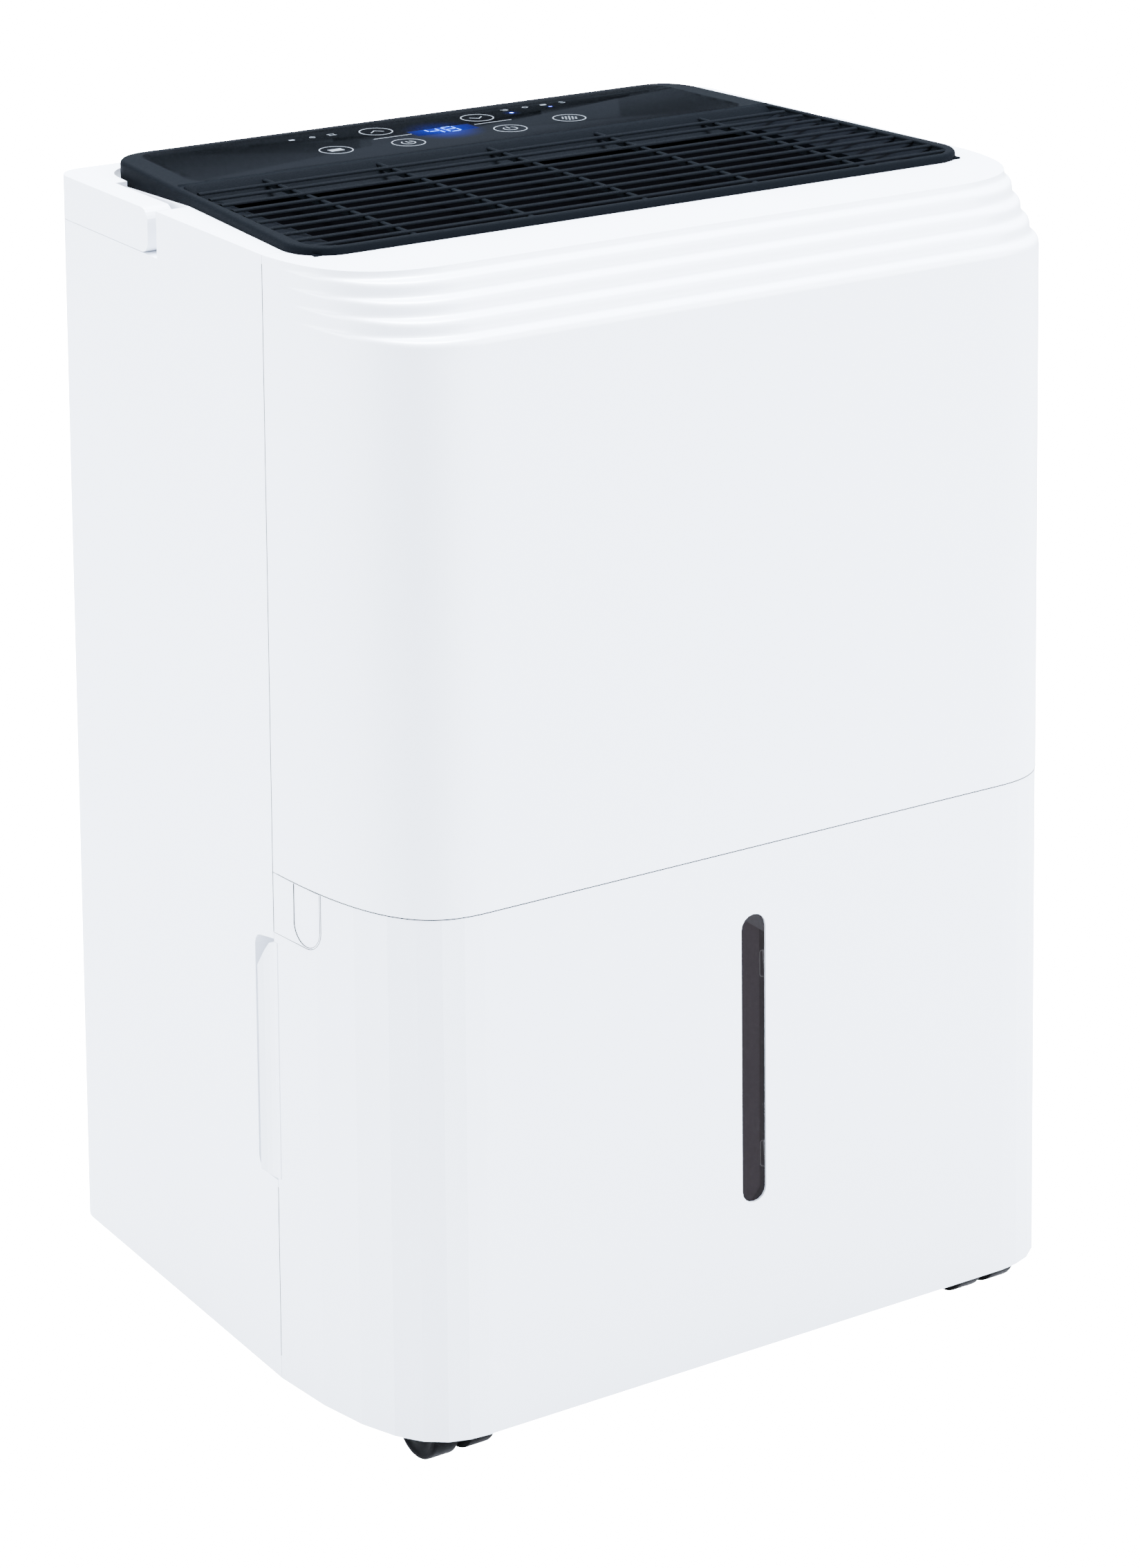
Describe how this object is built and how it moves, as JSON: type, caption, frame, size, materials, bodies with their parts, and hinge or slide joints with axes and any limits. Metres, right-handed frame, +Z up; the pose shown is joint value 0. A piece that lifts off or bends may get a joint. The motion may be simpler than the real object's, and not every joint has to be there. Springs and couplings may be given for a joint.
{
  "type": "dehumidifier",
  "caption": "Portable compressor dehumidifier: tapered white cabinet on swivel casters, slatted top outlet with touch controls, tilt-up handle, pull-out water bucket and rear filter.",
  "frame": {"origin": "centre of the cabinet's footprint on the floor, under the casters", "axes": "+Z up, +X to the right seen from the front, the front and its bucket face -Y"},
  "size_m": [0.413, 0.3267, 0.5717],
  "materials": {
    "rear_shell": "moulded white ABS, satin",
    "front_shell": "moulded white ABS, satin",
    "carry_handle": "moulded white ABS, satin",
    "bucket": "moulded white, satin",
    "drain_port_panel": "moulded white, satin",
    "drain_port_cover": "moulded white, satin",
    "rear_grille": "moulded white, satin",
    "top_panel": "charcoal, fine texture",
    "control_membrane": "charcoal film",
    "display_window": "smoked display window",
    "display_module": "black LED module",
    "control_board": "green circuit board",
    "handle_pivot_left": "steel pin",
    "handle_pivot_right": "steel pin",
    "level_window": "smoked clear plastic",
    "float_arm": "white plastic",
    "float": "foam",
    "float_pivot": "steel pin",
    "base_pan": "black moulded plastic",
    "bay_partition": "moulded, unpainted",
    "compressor": "black painted steel can",
    "compressor_plate": "black steel plate",
    "compressor_foot_1": "rubber",
    "compressor_foot_2": "rubber",
    "compressor_foot_3": "rubber",
    "evaporator": "finned coil",
    "condenser": "finned coil",
    "drip_tray": "white plastic",
    "suction_pipe": "copper tube",
    "discharge_pipe": "copper tube",
    "fan_scroll": "moulded plastic",
    "blower_wheel": "black plastic",
    "fan_motor": "painted steel can",
    "motor_bracket": "galvanised plate",
    "power_box": "grey plastic box",
    "run_capacitor": "aluminium can",
    "bucket_switch": "black plastic",
    "humidity_sensor": "white plastic",
    "air_filter": "fine mesh in a plastic frame",
    "drain_spigot": "plastic",
    "drain_cap": "plastic",
    "cord_inlet": "black rubber bush",
    "caster_hood_front_left": "glossy black plastic",
    "caster_wheels_front_left": "glossy black plastic",
    "caster_hood_front_right": "glossy black plastic",
    "caster_wheels_front_right": "glossy black plastic",
    "caster_hood_rear_left": "glossy black plastic",
    "caster_wheels_rear_left": "glossy black plastic",
    "caster_hood_rear_right": "glossy black plastic",
    "caster_wheels_rear_right": "glossy black plastic",
    "screw_lower_left": "steel screw head",
    "screw_lower_right": "steel screw head",
    "screw_upper_left": "steel screw head",
    "screw_upper_right": "steel screw head"
  },
  "bodies": {
    "casing": {"rear_shell": "rear_shell", "front_shell": "front_shell", "top_panel": "top_panel", "control_membrane": "control_membrane", "display_window": "display_window", "display_module": "display_module", "control_board": "control_board", "handle_pivot_left": "handle_pivot_left", "handle_pivot_right": "handle_pivot_right", "base_pan": "base_pan", "bay_partition": "bay_partition", "compressor": "compressor", "compressor_plate": "compressor_plate", "compressor_foot_1": "compressor_foot_1", "compressor_foot_2": "compressor_foot_2", "compressor_foot_3": "compressor_foot_3", "evaporator": "evaporator", "condenser": "condenser", "drip_tray": "drip_tray", "suction_pipe": "suction_pipe", "discharge_pipe": "discharge_pipe", "fan_scroll": "fan_scroll", "fan_motor": "fan_motor", "motor_bracket": "motor_bracket", "power_box": "power_box", "run_capacitor": "run_capacitor", "bucket_switch": "bucket_switch", "humidity_sensor": "humidity_sensor", "drain_spigot": "drain_spigot", "cord_inlet": "cord_inlet", "screw_lower_left": "screw_lower_left", "screw_lower_right": "screw_lower_right", "screw_upper_left": "screw_upper_left", "screw_upper_right": "screw_upper_right"},
    "handle": {"carry_handle": "carry_handle"},
    "bucket_unit": {"bucket": "bucket", "drain_port_panel": "drain_port_panel", "level_window": "level_window", "float_pivot": "float_pivot"},
    "port_cover": {"drain_port_cover": "drain_port_cover"},
    "float_unit": {"float": "float", "float_arm": "float_arm"},
    "intake_unit": {"rear_grille": "rear_grille", "air_filter": "air_filter"},
    "blower": {"blower_wheel": "blower_wheel"},
    "cap": {"drain_cap": "drain_cap"},
    "swivel_front_left": {"caster_hood_front_left": "caster_hood_front_left"},
    "wheels_front_left": {"caster_wheels_front_left": "caster_wheels_front_left"},
    "swivel_front_right": {"caster_hood_front_right": "caster_hood_front_right"},
    "wheels_front_right": {"caster_wheels_front_right": "caster_wheels_front_right"},
    "swivel_rear_left": {"caster_hood_rear_left": "caster_hood_rear_left"},
    "wheels_rear_left": {"caster_wheels_rear_left": "caster_wheels_rear_left"},
    "swivel_rear_right": {"caster_hood_rear_right": "caster_hood_rear_right"},
    "wheels_rear_right": {"caster_wheels_rear_right": "caster_wheels_rear_right"}
  },
  "joints": [
    {"name": "handle_lift", "type": "hinge", "parent": "casing", "child": "handle", "pos_m": [0, 0.0603, 0.5505], "axis": [1, 0, 0], "range_deg": [0, 90]},
    {"name": "bucket_pull", "type": "slide", "parent": "casing", "child": "bucket_unit", "axis": [0, -1, 0], "range_m": [0, 0.3]},
    {"name": "port_cover_pull", "type": "slide", "parent": "bucket_unit", "child": "port_cover", "axis": [-1, 0, 0], "range_m": [0, 0.03]},
    {"name": "float_swing", "type": "hinge", "parent": "bucket_unit", "child": "float_unit", "pos_m": [-0.1535, -0.03, 0.248], "axis": [0, 1, 0], "range_deg": [0, 15]},
    {"name": "intake_pull", "type": "slide", "parent": "casing", "child": "intake_unit", "axis": [0, 1, 0], "range_m": [0, 0.03]},
    {"name": "blower_spin", "type": "hinge", "parent": "casing", "child": "blower", "pos_m": [0, 0.011, 0.42], "axis": [0, 1, 0], "continuous": true},
    {"name": "cap_pull", "type": "slide", "parent": "casing", "child": "cap", "axis": [0, 1, 0], "range_m": [0, 0.03]},
    {"name": "swivel_front_left_turn", "type": "hinge", "parent": "casing", "child": "swivel_front_left", "pos_m": [-0.156, -0.123, 0.03], "axis": [0, 0, 1], "continuous": true},
    {"name": "wheels_front_left_roll", "type": "hinge", "parent": "swivel_front_left", "child": "wheels_front_left", "pos_m": [-0.156, -0.131, 0.018], "axis": [1, 0, 0], "continuous": true},
    {"name": "swivel_front_right_turn", "type": "hinge", "parent": "casing", "child": "swivel_front_right", "pos_m": [0.156, -0.123, 0.03], "axis": [0, 0, 1], "continuous": true},
    {"name": "wheels_front_right_roll", "type": "hinge", "parent": "swivel_front_right", "child": "wheels_front_right", "pos_m": [0.156, -0.131, 0.018], "axis": [1, 0, 0], "continuous": true},
    {"name": "swivel_rear_left_turn", "type": "hinge", "parent": "casing", "child": "swivel_rear_left", "pos_m": [-0.156, 0.106, 0.03], "axis": [0, 0, 1], "continuous": true},
    {"name": "wheels_rear_left_roll", "type": "hinge", "parent": "swivel_rear_left", "child": "wheels_rear_left", "pos_m": [-0.156, 0.098, 0.018], "axis": [1, 0, 0], "continuous": true},
    {"name": "swivel_rear_right_turn", "type": "hinge", "parent": "casing", "child": "swivel_rear_right", "pos_m": [0.156, 0.106, 0.03], "axis": [0, 0, 1], "continuous": true},
    {"name": "wheels_rear_right_roll", "type": "hinge", "parent": "swivel_rear_right", "child": "wheels_rear_right", "pos_m": [0.156, 0.098, 0.018], "axis": [1, 0, 0], "continuous": true}
  ]
}
